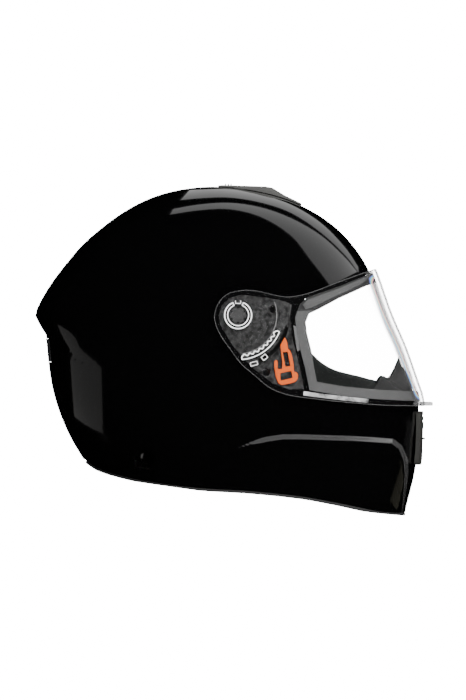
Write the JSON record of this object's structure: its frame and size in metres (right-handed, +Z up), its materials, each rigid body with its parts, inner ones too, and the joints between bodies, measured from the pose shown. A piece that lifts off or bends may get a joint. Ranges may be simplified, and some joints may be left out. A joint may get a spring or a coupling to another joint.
{
  "type": "motorcycle helmet",
  "caption": "Full-face motorcycle helmet: gloss shell, clear flip-up visor with release levers, sliding vents, padded liner and ratchet-buckle chin strap.",
  "frame": {"origin": "middle of the bounding box at its base, where the lower edge rests on a table", "axes": "+X towards the visor, +Y to the wearer's left, +Z up; the helmet stands on its lower edge with the chin tipped up 7.5 degrees from the worn attitude"},
  "size_m": [0.3548, 0.257, 0.2695],
  "materials": {
    "gloss_shell": "black high-gloss lacquer over a moulded shell",
    "clear_shield": "clear polished polycarbonate",
    "rubber_edge": "matt rubber",
    "vent_plastic": "satin dark grey moulded plastic",
    "plate_plastic": "fine-grained black moulded plastic",
    "lever_plastic": "satin orange moulded plastic",
    "black_foam": "expanded foam beads, matt",
    "liner_fabric": "knitted lining, matt",
    "webbing": "woven webbing",
    "pull_webbing": "woven ribbon",
    "plated_steel": "plated steel",
    "rivet_cap": "black-plated steel dome"
  },
  "bodies": {
    "shell": {"outer_shell": "gloss_shell", "base_edge_trim": "rubber_edge", "eye_port_gasket": "rubber_edge", "breath_deflector": "rubber_edge", "top_vent_hood": "vent_plastic", "chin_vent_shield": "vent_plastic", "rear_vent_grille": "vent_plastic", "visor_base_plate_left": "plate_plastic", "visor_base_plate_right": "plate_plastic", "ratchet_tongue": "plate_plastic", "crown_foam_liner": "black_foam", "chin_foam_liner": "black_foam", "cheek_foam_left": "black_foam", "cheek_foam_right": "black_foam", "crown_comfort_liner": "liner_fabric", "cheek_pad_left": "liner_fabric", "cheek_pad_right": "liner_fabric", "neck_roll": "liner_fabric", "chin_curtain": "liner_fabric", "strap_sleeve_left": "liner_fabric", "strap_sleeve_right": "liner_fabric", "chin_strap_left": "webbing", "chin_strap_right": "webbing", "buckle_body": "plated_steel", "buckle_pin": "plated_steel", "buckle_spring": "plated_steel", "release_spring_left": "plated_steel", "release_spring_right": "plated_steel", "strap_anchor_left": "plated_steel", "strap_anchor_right": "plated_steel", "base_plate_screw_left_1": "plated_steel", "base_plate_screw_left_2": "plated_steel", "base_plate_screw_right_1": "plated_steel", "base_plate_screw_right_2": "plated_steel", "strap_rivet_left": "rivet_cap", "strap_rivet_right": "rivet_cap"},
    "visor": {"visor": "clear_shield"},
    "release_lever_left": {"release_lever_left": "lever_plastic"},
    "release_lever_right": {"release_lever_right": "lever_plastic"},
    "top_vent_slider": {"top_vent_slider": "vent_plastic"},
    "chin_vent_shutter": {"chin_vent_shutter": "vent_plastic"},
    "buckle_lever": {"buckle_lever": "plated_steel", "pull_ribbon": "pull_webbing"}
  },
  "joints": [
    {"name": "visor_hinge", "type": "hinge", "parent": "shell", "child": "visor", "pos_m": [-0.00175, 0, 0.154], "axis": [0, -1, 0], "range_deg": [0, 55]},
    {"name": "release_left_slide", "type": "slide", "parent": "shell", "child": "release_lever_left", "axis": [0.2853, 0, -0.9585], "range_m": [0, 0.004], "stiffness_N_per_m": 200, "springref_m": -0.001, "deforming": ["release_spring_left"]},
    {"name": "release_right_slide", "type": "slide", "parent": "shell", "child": "release_lever_right", "axis": [0.2853, 0, -0.9585], "range_m": [0, 0.004], "stiffness_N_per_m": 200, "springref_m": -0.001, "deforming": ["release_spring_right"]},
    {"name": "top_vent_slide", "type": "slide", "parent": "shell", "child": "top_vent_slider", "axis": [0.9915, 0, 0.13], "range_m": [0, 0.008]},
    {"name": "chin_vent_slide", "type": "slide", "parent": "shell", "child": "chin_vent_shutter", "axis": [-0.13, 0, 0.9915], "range_m": [0, 0.005]},
    {"name": "buckle_lever_hinge", "type": "hinge", "parent": "shell", "child": "buckle_lever", "pos_m": [0.01136, 0.015, 0.01553], "axis": [0.9915, 0, 0.13], "range_deg": [0, 20], "stiffness_Nm_per_rad": 0.02, "springref_deg": -28.65}
  ]
}
